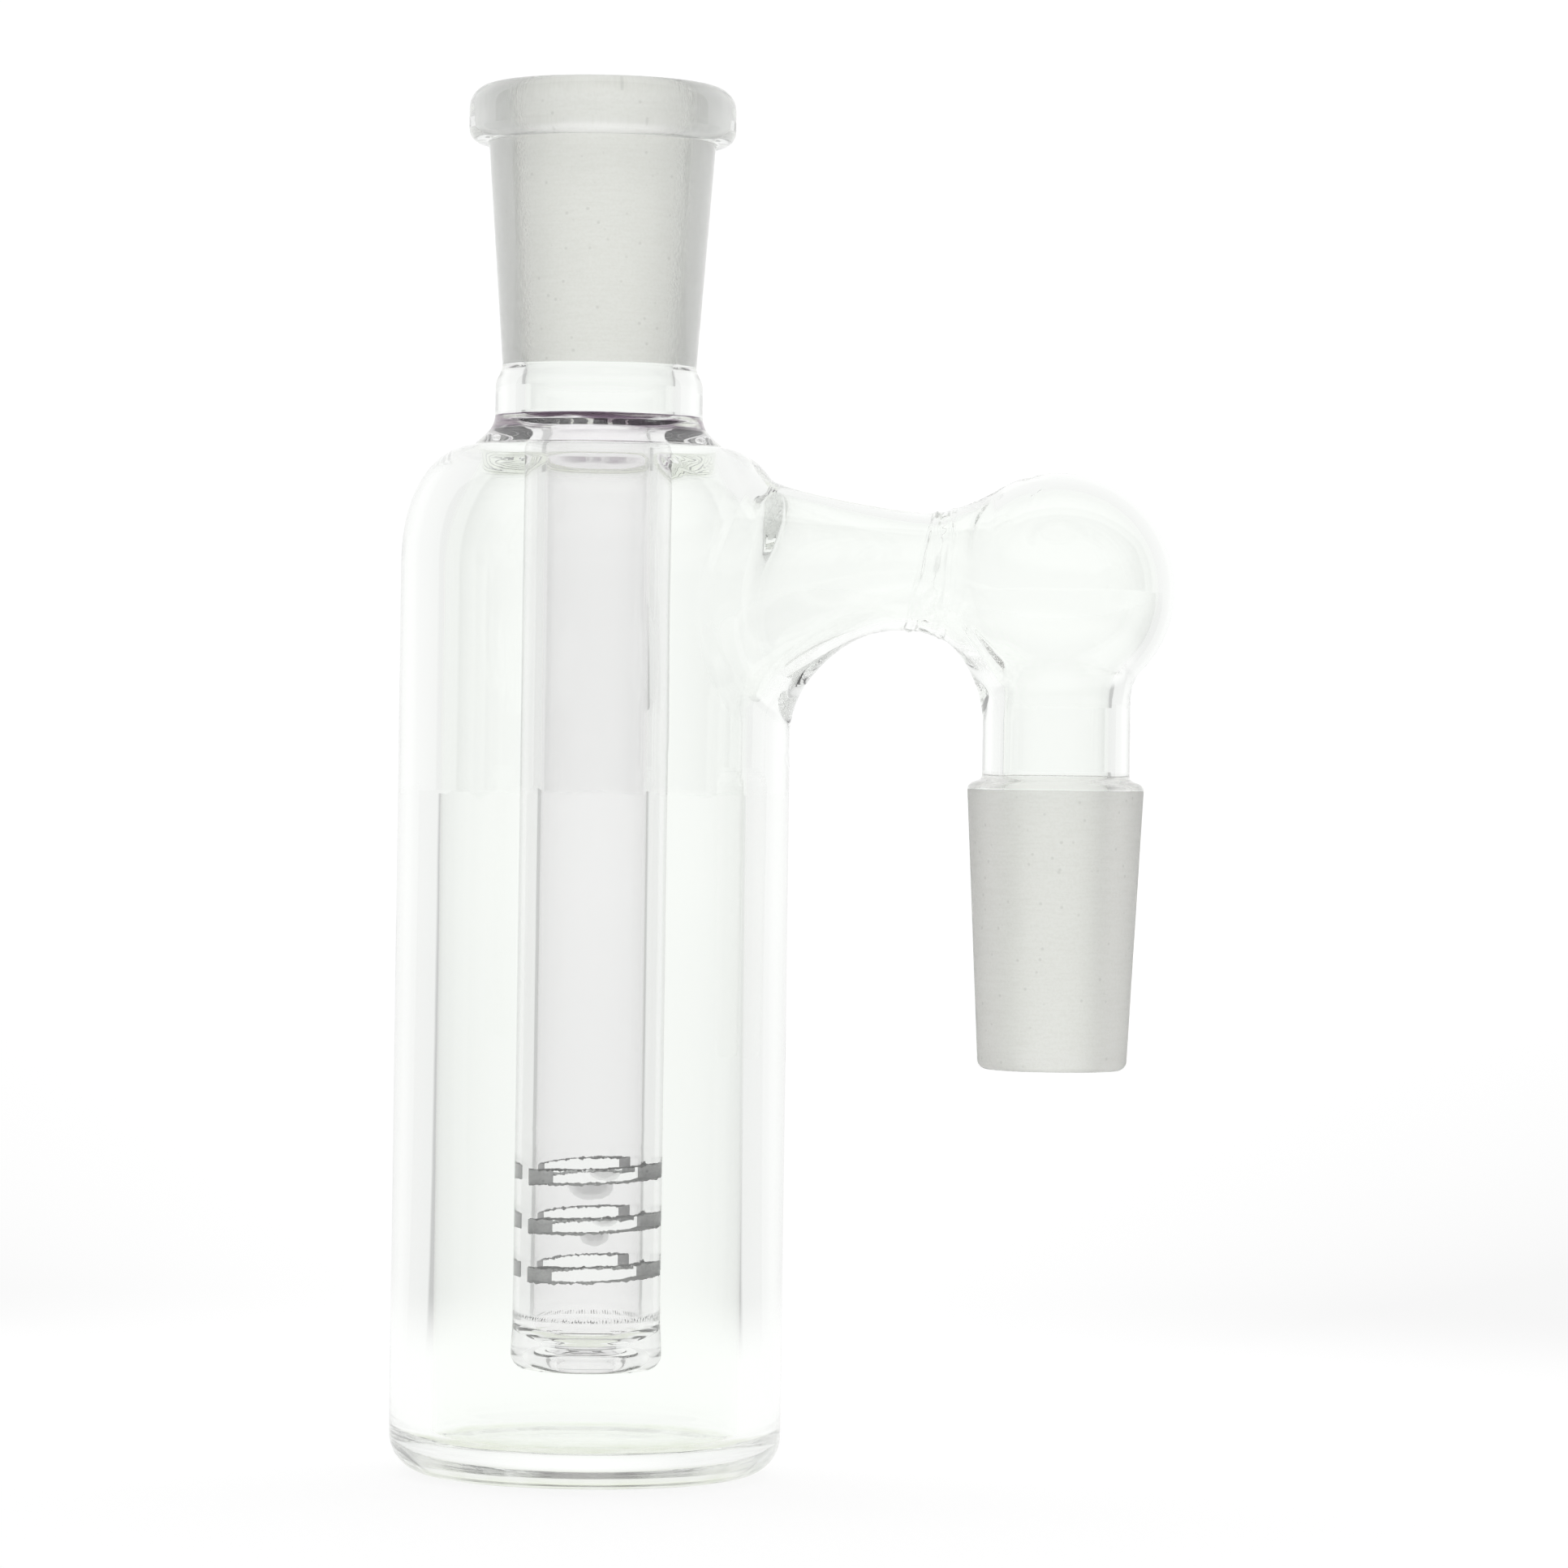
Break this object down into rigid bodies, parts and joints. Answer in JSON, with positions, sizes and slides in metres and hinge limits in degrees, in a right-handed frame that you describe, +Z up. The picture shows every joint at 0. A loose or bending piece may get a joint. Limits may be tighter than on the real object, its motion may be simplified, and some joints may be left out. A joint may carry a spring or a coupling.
{
  "type": "fused-glass bubbler with ground taper joints",
  "caption": "Upright glass cylinder with an inner slotted dip tube, a ground socket on top and a bent side arm ending in a downward ground cone.",
  "frame": {"origin": "centre of the round foot, on the surface it stands on", "axes": "+Z up along the body, +X from the body axis towards the side arm and its cone"},
  "size_m": [0.0637, 0.0322, 0.114],
  "materials": {
    "clear_glass": "fire-polished clear borosilicate",
    "dip_glass": "clear drawn tube, sawn slots matt",
    "ground_glass": "fine-ground frosted joint surface"
  },
  "bodies": {
    "root": {"socket_rim": "ground_glass", "ground_socket": "ground_glass", "socket_neck": "clear_glass", "ring_seal": "dip_glass", "body_shoulder": "clear_glass", "body_tube": "clear_glass", "base": "clear_glass", "dip_tube": "dip_glass", "slotted_diffuser": "dip_glass", "diffuser_tip": "dip_glass", "side_arm": "clear_glass", "arm_weld_ring": "clear_glass", "elbow_bulb": "clear_glass", "drop_neck": "clear_glass", "ground_cone": "ground_glass"}
  },
  "joints": []
}
